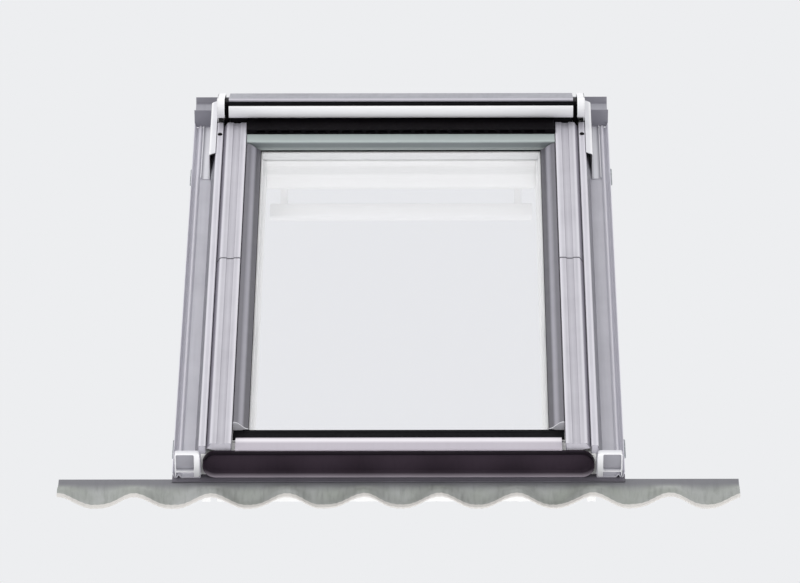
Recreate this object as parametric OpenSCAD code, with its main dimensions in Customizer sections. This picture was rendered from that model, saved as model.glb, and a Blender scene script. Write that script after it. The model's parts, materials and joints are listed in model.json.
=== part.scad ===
// Centre-pivot roof window with its flashing kit, shown at the pitch of the roof it is built into.
// Every piece is drawn lying flat: X across the window, Y up the slope, Z out of the roof, with
// Y = 0 at the lower end of the frame and Z = 0 on the battens. on_roof() then tilts it.

/* [Roof] */
// Pitch of the roof, in degrees
roof_pitch = 45; // [20:1:75]
// Distance from one tile roll to the next
roll_pitch = 150; // [120:5:220]
// Sideways shift of the tile rolls under the apron
roll_shift = 82; // [0:1:149]

/* [Timber] */
// Width of the timber frame
frame_w = 780; // [600:10:1140]
// Length of the timber frame, up the slope
frame_l = 1398; // [1000:1:1800]
// Depth of the timber frame, from the room to the covers
frame_d = 112; // [95:1:160]
// How far the top of the frame stands above the battens
frame_rise = 85; // [70:1:110]
// Thickness of the frame members
frame_t = 42; // [30:1:60]
// Running gap between frame and sash
sash_gap = 5; // [3:0.5:8]
// Thickness of the sash's side members
sash_side_t = 56; // [40:1:70]
// Length of the sash's bottom rail, up the slope
sash_bottom_l = 48; // [40:1:80]
// Length of the sash's top rail, up the slope
sash_top_l = 148; // [110:1:180]
// Depth of the sash, below the covers
sash_d = 97; // [80:1:110]
// Chamfer round the room side of the sash
sash_chamfer = 10; // [0:1:14]
// Width and depth of the lining groove in the frame
lining_groove = 12; // [8:1:16]

/* [Glazing] */
// Thickness of each pane
pane_t = 4; // [3:0.5:6]
// Gap between the two panes
pane_gap = 16; // [10:1:20]
// Width of the rebate that holds the panes
rebate_w = 18; // [14:1:24]
// Clearance round the panes in their rebate
pane_clear = 2; // [1:0.5:4]
// Width of the spacer bar between the panes
spacer_w = 10; // [6:1:14]
// Width of the gasket that lies on the glass
gasket_w = 11; // [8:1:16]
// Width of its black band below the glass
gasket_foot_w = 33; // [14:1:36]
// Thickness of that gasket
gasket_t = 3; // [2:0.5:5]
// How far the visible glass runs past the timber
sight_margin = 10; // [6:1:12]

/* [Covers] */
// Thickness of the metal covers
sheet_t = 1.5; // [1:0.1:2.5]
// Height of the side covers above the timber
cover_h = 25; // [18:1:35]
// Width of the sloping strip beside the glass
bevel_w = 30; // [16:1:36]
// Height of that strip above the gasket
bevel_h = 17; // [8:1:20]
// Distance of the pivot seam from the lower end
seam_at = 725; // [500:1:1100]
// Gap left open at the seam
seam_gap = 5; // [2:0.5:10]
// Depth of the groove pressed along the middle of each side cover
groove_d = 2; // [1:0.5:4]
// Width of the bead on either side of that groove
bead_w = 13; // [8:0.5:16]
// Width of the sloping outer edge of the side covers
step_w = 7; // [4:0.5:12]
// Length of the bottom sash cover, up the slope
bottom_cover_l = 56; // [50:1:90]
// Height of the bottom sash cover above the timber
bottom_cover_h = 12; // [8:1:16]
// Gap at each end of the bottom sash cover
bottom_cover_gap = 6; // [1:0.5:12]
// Height of the top glazing cover above the timber
top_cover_h = 23; // [10:1:25]

/* [Frame rail] */
// Width of the flat top of the rail along the frame
rail_w = 14; // [10:0.5:18]
// How much lower the rail is than the side covers
rail_step = 6; // [3:0.5:12]
// How far the rail's skirt hangs below the top of the timber
rail_drop = 25; // [15:1:35]
// How far the skirt slopes outwards
skirt_out = 10; // [3:0.5:16]

/* [Sill cover] */
// Height of the sill cover
sill_cover_h = 55; // [40:1:70]
// How far it stands out from the frame
sill_cover_d = 14; // [8:1:24]
// Thickness of its rim
sill_rim = 3; // [2:0.5:6]
// Depth of the recess inside its rim
sill_recess = 10; // [4:1:12]
// Radius of its rounded ends
sill_end_r = 26; // [10:1:27]

/* [Hood] */
// Distance from the side of the frame to the end of the hood
hood_inset = 22; // [20:1:60]
// Length of the hood, up the slope
hood_l = 126; // [110:1:150]
// Radius of the hood's rounded nose
nose_r = 22; // [14:0.5:24]
// Gap between the side covers and the hood's lower edge
hood_gap = 11; // [9:0.5:16]
// How much lower the back of the hood is than its nose
hood_fall = 41; // [20:1:45]
// Depth of the joint between the nose and the top plate
hood_groove = 5; // [2:0.5:8]
// Width of each end cap
hood_cap_w = 16; // [8:1:18]
// Width of the shadow gap between the hood and each end cap
hood_cap_gap = 9; // [3:0.5:12]
// How far the vent baffle shows in front of the hood
baffle_lead = 30; // [10:1:40]
// Distance from one slot of the vent baffle to the next
slot_pitch = 26; // [18:1:40]

/* [Flashing] */
// Height of the gutter floor above the battens
gutter_rise = 38; // [20:1:50]
// Width of the side gutter
gutter_w = 56; // [40:1:90]
// Height of the gutter's outer edge
gutter_lip = 13; // [8:1:25]
// How far the head flashing runs up behind the frame
head_flashing_l = 112; // [80:1:200]
// How far the head flashing's arms reach down the sides of the frame
arm_l = 226; // [120:1:300]
// Length of the apron, down the slope
apron_l = 84; // [60:1:160]
// Width of the apron
apron_w = 1340; // [1000:10:1600]
// Flat length of the apron, under the sill flashing
apron_flat = 14; // [8:1:30]
// Length over which the waves grow to their full height
apron_rise_l = 50; // [20:1:80]
// Height of the waves dressed into the apron
wave_h = 30; // [10:1:50]
// Thickness of the apron
apron_t = 2; // [1.5:0.1:3]

/* [Fixings] */
// Length of each mounting bracket, up the slope
bracket_l = 80; // [60:1:120]
// Width of the bracket's foot
bracket_foot = 62; // [45:1:90]
// Thickness of the brackets
bracket_t = 3; // [2:0.5:5]
// Radius of the screw holes
screw_r = 3; // [2:0.25:4]
// Distance between the two screw holes in a foot
screw_pitch = 50; // [30:1:80]
// Distance of the brackets from the ends of the frame
bracket_inset = 110; // [60:5:300]

/* [Room side] */
// Length of the control bar
bar_l = 560; // [300:10:900]
// Width of the control bar, up the slope
bar_w = 60; // [30:1:80]
// Thickness of the control bar
bar_t = 14; // [10:1:20]
// Gap for fingers behind the control bar
bar_gap = 25; // [22:1:45]
// Distance of the bar from the sash's top rail
bar_inset = 10; // [5:1:60]
// Distance of its two brackets from its ends
bar_bracket_inset = 30; // [20:1:60]
// Length of the ventilation flap, up the slope
flap_l = 70; // [50:1:90]
// Thickness of the ventilation flap
flap_t = 6; // [4:0.5:10]
// Distance of the flap from the rail's chamfer
flap_inset = 36; // [30:1:50]

/* [Hidden] */
$fn = 48;

// Clearance between pieces that lie side by side
fit = 0.3;
// Bends at the edges of the covers
fold = 1.5;
// How far the sill cover's top lies under the bottom sash cover's
sill_cover_under = 4;
// How far the hood reaches past the upper end of the frame
hood_behind = 8;

// Heights above the battens
timber_top = frame_rise;
timber_low = timber_top - frame_d;
sash_low = timber_top - sash_d;
glass_t = 2 * pane_t + pane_gap;
rebate_floor = timber_top - glass_t;
gasket_top = timber_top + gasket_t;
cover_top = timber_top + cover_h;
rail_top = cover_top - rail_step;
skirt_low = timber_top - rail_drop;
top_cover_z = timber_top + top_cover_h;
hood_low = cover_top + hood_gap;
hood_top = hood_low + 2 * nose_r;
hood_back = hood_top - hood_fall;
sill_cover_top = timber_top + bottom_cover_h - sill_cover_under;
sill_cover_low = sill_cover_top - sill_cover_h;

// Half widths, from the middle of the window
frame_x = frame_w / 2;
frame_in_x = frame_x - frame_t;
sash_x = frame_in_x - sash_gap;
sash_in_x = sash_x - sash_side_t;
pane_x = sash_in_x + rebate_w - pane_clear;
sight_x = sash_in_x + sight_margin;
bevel_x = sight_x + 1 + bevel_w;
cover_in_x = bevel_x + 1.5;
flashing_x = frame_x + fit;
upstand_x = flashing_x + sheet_t + fit;
rail_x = upstand_x + sheet_t;
rail_in_x = rail_x - rail_w;
cover_out_x = rail_in_x - 1 - step_w;
arm_x = rail_x + skirt_out + 3;
gutter_x = flashing_x + gutter_w;
hood_x = frame_x - hood_inset;
cap_x = hood_x + hood_cap_gap;
upper_leg_x = cover_out_x - bead_w / 2;
lower_leg_x = cover_in_x + bead_w / 2;

// Distances up the slope
sash_y0 = frame_t + sash_gap;
sash_y1 = frame_l - frame_t - sash_gap;
light_y0 = sash_y0 + sash_bottom_l;
light_y1 = sash_y1 - sash_top_l;
sight_y0 = light_y0 - sight_margin;
sight_y1 = light_y1 + sight_margin;
pane_y0 = light_y0 - rebate_w + pane_clear;
pane_y1 = light_y1 + rebate_w - pane_clear;
gasket_y0 = sight_y0 - gasket_foot_w;
hood_y1 = frame_l + hood_behind;
hood_y0 = hood_y1 - hood_l;
nose_y = hood_y0 + nose_r;
baffle_y0 = hood_y0 - baffle_lead;
cover_y1 = hood_y0 + 16;

// The window's feet: the point of the lower left bracket that is the origin
bracket_x = frame_x + bracket_t;
foot_x = bracket_x + (bracket_foot - bracket_t) / 2;
foot_y = bracket_inset + bracket_l / 2;

// Sheet metal profiles
function unit(v) = v / norm(v);
function left_of(v) = [-v[1], v[0]];
function edge_normal(p, i) = left_of(unit(p[i + 1] - p[i]));
function shifted(p, i, t) =
    let (last = len(p) - 1)
    let (a = edge_normal(p, max(i - 1, 0)), b = edge_normal(p, min(i, last - 1)))
    p[i] + t * (a + b) / (1 + a * b);
function arc(c, r, a0, a1, n = 10) =
    [for (i = [0:n]) let (a = a0 + (a1 - a0) * i / n) c + r * [cos(a), sin(a)]];

// A strip of sheet that follows a line of points, t thick, on the line's left
module sheet(points, t = sheet_t) {
    last = len(points) - 1;
    polygon(concat(points, [for (i = [last:-1:0]) shifted(points, i, t)]));
}

// A profile drawn across the window, carried up the slope from y0 to y1
module up_slope(y0, y1) {
    translate([0, y1, 0]) rotate([90, 0, 0]) linear_extrude(y1 - y0) children();
}

// A profile drawn along the slope, carried across the window from x0 to x1
module across(x0, x1) {
    translate([x0, 0, 0]) rotate([90, 0, 90]) linear_extrude(x1 - x0) children();
}

module on_side(side) {
    mirror([side < 0 ? 1 : 0, 0, 0]) children();
}

module on_roof() {
    rotate([roof_pitch, 0, 0]) translate([foot_x, -foot_y, 0]) children();
}

// Timber
module frame_side(side) {
    color("whitesmoke") on_roof() on_side(side) up_slope(0, frame_l) difference() {
        translate([frame_in_x, timber_low]) square([frame_t, frame_d]);
        translate([frame_in_x + lining_groove, timber_low - 1]) square([lining_groove, lining_groove + 1]);
    }
}

module frame_end(y0) {
    color("whitesmoke") on_roof() across(-frame_in_x, frame_in_x) difference() {
        translate([y0, timber_low]) square([frame_t, frame_d]);
        translate([y0 + (frame_t - lining_groove) / 2, timber_low - 1])
            square([lining_groove, lining_groove + 1]);
    }
}

module sash_side(side) {
    color("white") on_roof() on_side(side) difference() {
        up_slope(sash_y0, sash_y1) polygon([
            [sash_in_x + sash_chamfer, sash_low],
            [sash_x, sash_low],
            [sash_x, timber_top],
            [sash_in_x, timber_top],
            [sash_in_x, sash_low + sash_chamfer],
        ]);
        translate([sash_in_x - 1, light_y0 - rebate_w, rebate_floor])
            cube([rebate_w + 1, light_y1 - light_y0 + 2 * rebate_w, glass_t + 1]);
    }
}

// up is 1 on the bottom rail, whose inner edge faces up the slope, and -1 on the top rail
module sash_rail(outer_y, inner_y, up) {
    color("white") on_roof() across(-sash_in_x, sash_in_x) difference() {
        polygon([
            [outer_y, sash_low],
            [inner_y - up * sash_chamfer, sash_low],
            [inner_y, sash_low + sash_chamfer],
            [inner_y, timber_top],
            [outer_y, timber_top],
        ]);
        translate([min(inner_y - up * rebate_w, inner_y + up), rebate_floor])
            square([rebate_w + 1, glass_t + 1]);
    }
}

// Glazing
module pane(z) {
    color("azure", 0.4) on_roof() translate([-pane_x, pane_y0, z])
        cube([2 * pane_x, pane_y1 - pane_y0, pane_t]);
}

module ring(x_out, y_out0, y_out1, x_in, y_in0, y_in1, z, h) {
    difference() {
        translate([-x_out, y_out0, z]) cube([2 * x_out, y_out1 - y_out0, h]);
        translate([-x_in, y_in0, z - 1]) cube([2 * x_in, y_in1 - y_in0, h + 2]);
    }
}

module pane_spacer() {
    color("lightgray") on_roof() ring(
        pane_x, pane_y0, pane_y1,
        pane_x - spacer_w, pane_y0 + spacer_w, pane_y1 - spacer_w,
        rebate_floor + pane_t, pane_gap
    );
}

// A ring round the glass, with a wide foot that lies over the whole lower end of the sash
module glazing_gasket() {
    foot_y0 = sash_y0 + 4;
    color("#232329") on_roof() {
        ring(
            sight_x + gasket_w, gasket_y0, sight_y1 + gasket_w,
            sight_x, sight_y0, sight_y1,
            timber_top, gasket_t
        );
        translate([-bevel_x, foot_y0, timber_top]) cube([2 * bevel_x, sight_y0 - foot_y0, gasket_t]);
    }
}

// Covers
module bevel_strip(side) {
    color("#8f8d99") on_roof() on_side(side) up_slope(sight_y0, sight_y1) sheet([
        [bevel_x, timber_top],
        [bevel_x, gasket_top + bevel_h],
        [bevel_x - 3, gasket_top + bevel_h],
        [bevel_x - 9, gasket_top + bevel_h - 2],
        [sight_x + 9, gasket_top + sheet_t + 3],
        [sight_x + 4, gasket_top + sheet_t],
        [sight_x + 1, gasket_top + sheet_t],
    ]);
}

// Outer surface of a side cover, from its outer edge up over the two beads and down beside the bevel
function cover_line() = [
    [rail_in_x - 1, rail_top - rail_step],
    [cover_out_x, cover_top - fold],
    [cover_out_x - fold, cover_top],
    [cover_out_x - bead_w, cover_top],
    [cover_out_x - bead_w - groove_d, cover_top - groove_d],
    [cover_in_x + bead_w + groove_d, cover_top - groove_d],
    [cover_in_x + bead_w, cover_top],
    [cover_in_x + fold, cover_top],
    [cover_in_x, cover_top - fold],
    [cover_in_x, gasket_top + bevel_h / 2],
];

// Each cover stands on one leg: the upper ones on the frame, the lower ones on the sash
module side_cover(side, y0, y1, leg_x) {
    color("#cfcdd6") on_roof() on_side(side) {
        up_slope(y0, y1) {
            sheet(cover_line());
            translate([leg_x, timber_top]) square([sheet_t, cover_h - sheet_t / 2]);
        }
        up_slope(y0, y0 + sheet_t) polygon(cover_line());
    }
}

module frame_rail(side) {
    skirt_x = rail_x + skirt_out;
    hem = 4;
    edge_z = rail_top - fold;
    skirt_at_timber = rail_x + skirt_out * (edge_z - timber_top) / (edge_z - skirt_low);
    line = [
        [skirt_x - hem, skirt_low],
        [skirt_x, skirt_low],
        [rail_x, edge_z],
        [rail_x - fold, rail_top],
        [rail_in_x + fold, rail_top],
        [rail_in_x, edge_z],
        [rail_in_x, timber_top],
    ];
    color("#c9c7d0") on_roof() on_side(side) {
        up_slope(0, nose_y + 4) sheet(line);
        up_slope(0, sheet_t) polygon([
            [rail_in_x, timber_top + fit],
            [rail_in_x, rail_top - 1],
            [rail_x, edge_z],
            [skirt_at_timber, timber_top + fit],
        ]);
    }
}

module bottom_sash_cover() {
    top = timber_top + bottom_cover_h;
    nose = 3;
    lip_y = gasket_y0 + 1;
    lip_z = gasket_top + sheet_t;
    y0 = lip_y - bottom_cover_l;
    x = bevel_x - bottom_cover_gap;
    leg_y = sash_y0 + 1;
    slope = (top - lip_z) / 12;
    under_slope = gasket_top + sheet_t / 2 + max(0, lip_y - 3 - leg_y - sheet_t) * slope;
    leg_z = min(top - sheet_t / 2, under_slope);
    color("#cdcbd3") on_roof() across(-x, x) {
        sheet(concat(
            [[lip_y, lip_z], [lip_y - 3, lip_z], [lip_y - 15, top]],
            arc([y0 + nose, top - nose], nose, 90, 180),
            [[y0, sill_cover_top + fit]]
        ));
        translate([leg_y, timber_top]) square([sheet_t, leg_z - timber_top]);
    }
}

module top_glazing_cover() {
    y0 = sight_y1 + 3;
    color("#a8adb0") on_roof() across(-bevel_x, bevel_x) sheet(concat(
        [[baffle_y0 - fit, timber_top], [baffle_y0 - fit, top_cover_z]],
        arc([y0 + 2 * fold, top_cover_z - 2 * fold], 2 * fold, 90, 180, 5),
        [[y0, gasket_top + sheet_t], [sight_y1 + 1, gasket_top + sheet_t]]
    ));
}

module rounded_plate(x0, x1, z0, z1, r) {
    rr = min(r, (z1 - z0) / 2 - 0.01);
    translate([x0 + rr, z0]) square([x1 - x0 - 2 * rr, z1 - z0]);
    translate([x0, z0 + rr]) square([x1 - x0, z1 - z0 - 2 * rr]);
    for (x = [x0 + rr, x1 - rr]) for (z = [z0 + rr, z1 - rr]) translate([x, z]) circle(rr);
}

module sill_cover() {
    x = frame_x - 4;
    color("#463e46") on_roof() difference() {
        up_slope(-sill_cover_d, 0) rounded_plate(-x, x, sill_cover_low, sill_cover_top, sill_end_r);
        up_slope(-sill_cover_d - 1, sill_recess - sill_cover_d) rounded_plate(
            sill_rim - x, x - sill_rim,
            sill_cover_low + sill_rim, sill_cover_top - sill_rim, sill_end_r - sill_rim
        );
    }
}

// Hood
hood_back_fold = 6;
nose_centre = [nose_y, hood_low + nose_r];
// The joint lies on the nose, between these two angles: 90 is its top and 180 its front
joint_a0 = 105;
joint_a1 = 142;
function hood_roof_at(y) = hood_top - hood_fall * (y - nose_y) / (hood_y1 - hood_back_fold - nose_y);

// From the foot at the back, down the roof and round the nose, with the groove of the joint if it has one
function hood_line(joint) = concat(
    [
        [hood_y1, timber_top + 3],
        [hood_y1, hood_back - hood_back_fold],
        [hood_y1 - hood_back_fold, hood_back],
    ],
    joint ? concat(
        arc(nose_centre, nose_r, 90, joint_a0, 2),
        arc(nose_centre, nose_r - hood_groove, joint_a0, joint_a1, 4),
        arc(nose_centre, nose_r, joint_a1, 270, 12)
    ) : arc(nose_centre, nose_r, 90, 270, 16),
    [[nose_y + 6, hood_low + 3]]
);

module hood() {
    leg_y = frame_l - frame_t / 2;
    color("#dfe3e8") on_roof() across(-hood_x, hood_x) {
        sheet(hood_line(true));
        translate([leg_y, timber_top]) square([sheet_t, hood_roof_at(leg_y) - sheet_t - timber_top]);
    }
}

// A shell with a closed outer side, and a core that reaches into the shadow gap beside the hood
module hood_cap(side) {
    x1 = cap_x + hood_cap_w;
    core_r = nose_r / 2;
    color("#c9ccd2") on_roof() on_side(side) {
        across(cap_x, x1) sheet(hood_line(false));
        across(x1 - 2, x1) polygon(concat(
            hood_line(false),
            [[nose_y + 14, timber_top], [hood_y1, timber_top]]
        ));
        across(hood_x + fit, cap_x + 2) polygon(concat(
            [[frame_l, timber_top], [frame_l, hood_roof_at(frame_l) - core_r]],
            arc([nose_y + 6, hood_low + nose_r], core_r, 90, 180),
            [[nose_y + 14, timber_top]]
        ));
        across(cap_x, x1) translate([frame_l - 6, timber_top])
            square([6, hood_roof_at(frame_l) - sheet_t - timber_top]);
    }
}

// A slotted bar in front of the hood, and a plain one behind its lip that reaches over the covers' ends
module vent_baffle() {
    clear = 3;
    top = hood_low - clear;
    y1 = sash_y1 - 2;
    slot_w = slot_pitch * 0.7;
    slot_d = 10;
    slot_edge = 2.5;
    slots = floor((2 * bevel_x - 2 * slot_w) / slot_pitch);
    color("#1c1b1e") on_roof() {
        difference() {
            translate([-bevel_x, baffle_y0, timber_top])
                cube([2 * bevel_x, y1 - baffle_y0, top - timber_top]);
            for (i = [0:slots])
                translate([(i - slots / 2) * slot_pitch - slot_w / 2, baffle_y0 - 1, top_cover_z + slot_edge])
                cube([slot_w, slot_d + 1, top - top_cover_z - 2 * slot_edge]);
        }
        translate([2 - hood_x, cover_y1 + 2, timber_top])
            cube([2 * hood_x - 4, y1 - cover_y1 - 2, top - timber_top]);
    }
}

// Flashing
module gutter_profile(floor_z, upstand) {
    sheet([
        [gutter_x, floor_z + gutter_lip],
        [gutter_x - 4, floor_z],
        [gutter_x - 9, floor_z],
        [gutter_x - 13, floor_z + 7],
        [gutter_x - 17, floor_z],
        [flashing_x, floor_z],
        [flashing_x, floor_z + upstand],
    ], -sheet_t);
}

module side_flashing(side) {
    color("#b9bcc4") on_roof() on_side(side)
        up_slope(-sill_cover_d, frame_l) gutter_profile(gutter_rise, timber_top - gutter_rise);
}

module head_flashing() {
    y0 = frame_l + fit;
    y1 = frame_l + head_flashing_l;
    z = gutter_rise + sheet_t + fit;
    color("#a9aeb5") on_roof() {
        across(-gutter_x, gutter_x) sheet([
            [y1, z + 14],
            [y1 - 6, z],
            [y0, z],
            [y0, timber_top - 2],
        ], -sheet_t);
        for (side = [-1, 1]) on_side(side) up_slope(frame_l - arm_l, y0 + 1) sheet([
            [gutter_x - 19, z + 5],
            [gutter_x - 21, z],
            [arm_x, z],
            [arm_x, rail_top - 4],
            [rail_x + fit, rail_top + 1],
        ], -sheet_t);
    }
}

module sill_flashing() {
    z = gutter_rise - fit;
    color("#8b8f93") on_roof() across(-gutter_x, gutter_x) sheet([
        [-sill_cover_d - apron_flat, z + 1],
        [-sill_cover_d - apron_flat + 2, z],
        [-fit, z],
    ], -sheet_t);
}

function wave(x) = 2 * pow((1 + cos(360 * (x - roll_shift) / roll_pitch)) / 2, 1.3) - 1;
function ease(u) = u * u * (3 - 2 * u);

module apron() {
    cols = round(apron_w / roll_pitch * 12);
    rows = 8;
    y_top = -sill_cover_d - 2;
    z_top = gutter_rise - fit - sheet_t - fit - apron_t;
    color("#91968f") on_roof() polyhedron(
        points = [for (k = [0, 1]) for (j = [0:rows]) for (i = [0:cols])
            let (x = apron_w * (i / cols - 0.5), y = apron_l * j / rows)
            let (grow = ease(min(1, max(0, (y - apron_flat) / apron_rise_l))))
            [x, y_top - y, z_top + apron_t * k + grow * wave_h / 2 * wave(x)]],
        faces = let (n = cols + 1, m = n * (rows + 1)) concat(
            [for (j = [0:rows - 1]) for (i = [0:cols - 1])
                let (a = j * n + i) [a, a + 1, a + n + 1, a + n]],
            [for (j = [0:rows - 1]) for (i = [0:cols - 1])
                let (a = m + j * n + i) [a, a + n, a + n + 1, a + 1]],
            [for (i = [0:cols - 1]) [i, m + i, m + i + 1, i + 1]],
            [for (i = [0:cols - 1]) let (a = rows * n + i) [a, a + 1, m + a + 1, m + a]],
            [for (j = [0:rows - 1]) let (a = j * n) [a, a + n, m + a + n, m + a]],
            [for (j = [0:rows - 1]) let (a = j * n + cols) [a, m + a, m + a + n, a + n]]
        )
    );
}

// A rimmed end to the side gutter, open below so that the water runs out onto the apron
module foot_piece(side) {
    z0 = gutter_rise + sheet_t + fit;
    x1 = gutter_x - 5.5;
    post = 11;
    rim = 2.2;
    drain_h = 11;
    open_x0 = upstand_x + post;
    open_x1 = x1 - rim;
    color("#c6c9cf") on_roof() on_side(side) difference() {
        up_slope(-sill_cover_d, -fit) rounded_plate(upstand_x, x1, z0, sill_cover_top, 4);
        up_slope(-sill_cover_d - 1, sill_recess - sill_cover_d)
            rounded_plate(open_x0, open_x1, z0 + drain_h + rim, sill_cover_top - rim, 3);
        up_slope(-sill_cover_d - 1, 1) translate([open_x0, z0 - 1]) square([open_x1 - open_x0, drain_h + 1]);
    }
}

// Fixings
// An angle plate with cut corners and a stiffening rib in its bend
module bracket(side, y0) {
    corner = 8;
    rib_w = 9;
    rib_h = 16;
    color("#8e9196") on_roof() on_side(side) difference() {
        union() {
            linear_extrude(bracket_t) difference() {
                translate([frame_x, y0]) square([bracket_foot, bracket_l]);
                for (y = [y0, y0 + bracket_l]) translate([frame_x + bracket_foot, y]) rotate(45)
                    square(corner * sqrt(2), center = true);
            }
            translate([frame_x, y0, 0]) cube([bracket_t, bracket_l, gutter_rise - 4]);
            up_slope(y0 + (bracket_l - rib_w) / 2, y0 + (bracket_l + rib_w) / 2) polygon([
                [bracket_x - 1, bracket_t - 1],
                [bracket_x + rib_h, bracket_t - 1],
                [bracket_x - 1, bracket_t + rib_h],
            ]);
        }
        for (dy = [-1, 1]) translate([foot_x, y0 + bracket_l / 2 + dy * screw_pitch / 2, -1])
            cylinder(r = screw_r, h = bracket_t + 2);
    }
}

// Two friction discs on a plate with rounded ends, in the running gap between sash and frame
module pivot_hinge(side) {
    z = (timber_top + sash_low) / 2;
    disc_r = 22;
    plate_r = 14;
    plate_l = 92;
    color("#9aa0a6") on_roof() on_side(side) translate([sash_x, seam_at, z]) rotate([0, 90, 0]) {
        cylinder(r = disc_r, h = sash_gap);
        linear_extrude(sash_gap) {
            translate([-plate_r, -plate_l / 2]) square([2 * plate_r, plate_l]);
            for (y = [-plate_l / 2, plate_l / 2]) translate([0, y]) circle(plate_r);
        }
    }
}

// Room side
// A flat bar with round edges, on two arms that reach back to the top rail
module control_bar() {
    arm_w = 16;
    arm_t = 8;
    arm_foot = 28;
    y = light_y1 - bar_inset;
    z = sash_low - bar_gap - bar_t;
    rail_y = light_y1 + sash_chamfer;
    color("#f0f0f0") on_roof() {
        across(-bar_l / 2, bar_l / 2) union() {
            translate([y, z + bar_t / 2]) circle(bar_t / 2);
            translate([y - bar_w + bar_t, z + bar_t / 2]) circle(bar_t / 2);
            translate([y - bar_w + bar_t, z]) square([bar_w - bar_t, bar_t]);
        }
        for (x = [-1, 1] * (bar_l / 2 - bar_bracket_inset)) across(x - arm_w / 2, x + arm_w / 2) polygon([
            [y - arm_t / 2, z + bar_t / 2],
            [y + arm_t / 2, z + 1],
            [rail_y + arm_foot, sash_low - 3],
            [rail_y + arm_foot + 2, sash_low],
            [rail_y + 2, sash_low],
        ]);
    }
}

// A lipped plate over the vent slot in the top rail
module ventilation_flap() {
    y0 = light_y1 + sash_chamfer + flap_inset;
    lip = 3;
    color("#e8e8e6") on_roof() across(4 - sash_in_x, sash_in_x - 4) polygon(concat(
        [[y0 + flap_l, sash_low], [y0 + flap_l, sash_low - flap_t + 2], [y0 + flap_l - 2, sash_low - flap_t]],
        [[y0 + 14, sash_low - flap_t], [y0 + 10, sash_low - flap_t - lip]],
        arc([y0 + lip, sash_low - flap_t], lip, 270, 180, 5),
        [[y0, sash_low]]
    ));
}

// A bolt in two guides on a face plate, with a turned knob
module barrel_bolt() {
    plate_t = 2;
    plate_l = 60;
    bolt_l = 62;
    bolt_at = sash_y0 + 90;
    color("#c8c9cb") on_roof() translate([sash_in_x + sash_side_t / 2, bolt_at, sash_low]) {
        translate([-11, 0, -plate_t]) cube([22, plate_l, plate_t]);
        translate([0, -6, -plate_t - 5]) rotate([-90, 0, 0]) cylinder(r = 4, h = bolt_l);
        for (y = [6, plate_l - 18]) translate([0, y, -plate_t - 5]) {
            rotate([-90, 0, 0]) cylinder(r = 6.5, h = 12);
            translate([-6.5, 0, 0]) cube([13, 12, 5]);
        }
        translate([0, 30, -plate_t - 5]) mirror([0, 0, 1]) cylinder(r = 3.5, h = 14);
    }
}

frame_side(-1);  // frame_side_left
frame_side(1);  // frame_side_right
frame_end(frame_l - frame_t);  // frame_head
frame_end(0);  // frame_sill
sash_side(-1);  // sash_side_left
sash_side(1);  // sash_side_right
sash_rail(sash_y1, light_y1, -1);  // sash_top_rail
sash_rail(sash_y0, light_y0, 1);  // sash_bottom_rail
pane(timber_top - pane_t);  // outer_pane
pane(rebate_floor);  // inner_pane
pane_spacer();
glazing_gasket();
bevel_strip(-1);  // bevel_strip_left
bevel_strip(1);  // bevel_strip_right
top_glazing_cover();
bottom_sash_cover();
side_cover(-1, seam_at, cover_y1, upper_leg_x);  // upper_cover_left
side_cover(1, seam_at, cover_y1, upper_leg_x);  // upper_cover_right
side_cover(-1, 0, seam_at - seam_gap, lower_leg_x);  // lower_cover_left
side_cover(1, 0, seam_at - seam_gap, lower_leg_x);  // lower_cover_right
frame_rail(-1);  // frame_rail_left
frame_rail(1);  // frame_rail_right
sill_cover();
hood();
hood_cap(-1);  // hood_cap_left
hood_cap(1);  // hood_cap_right
vent_baffle();
side_flashing(-1);  // side_flashing_left
side_flashing(1);  // side_flashing_right
head_flashing();
sill_flashing();
apron();
foot_piece(-1);  // foot_piece_left
foot_piece(1);  // foot_piece_right
bracket(-1, bracket_inset);  // bracket_lower_left
bracket(1, bracket_inset);  // bracket_lower_right
bracket(-1, frame_l - bracket_inset - bracket_l);  // bracket_upper_left
bracket(1, frame_l - bracket_inset - bracket_l);  // bracket_upper_right
pivot_hinge(-1);  // pivot_hinge_left
pivot_hinge(1);  // pivot_hinge_right
control_bar();
ventilation_flap();
barrel_bolt();
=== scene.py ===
# %% [markdown]
# # A centre-pivot roof window in grey metal and white timber
#
# The window lies in a roof of 45 degrees. Its timber, panes and brackets come
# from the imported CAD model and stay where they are. Blender gives each of them
# its finish, and makes new surfaces for the folded sheet metal, because a real
# fold is round and catches the light, and a CAD fold is a sharp line.

import json
import math

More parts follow.
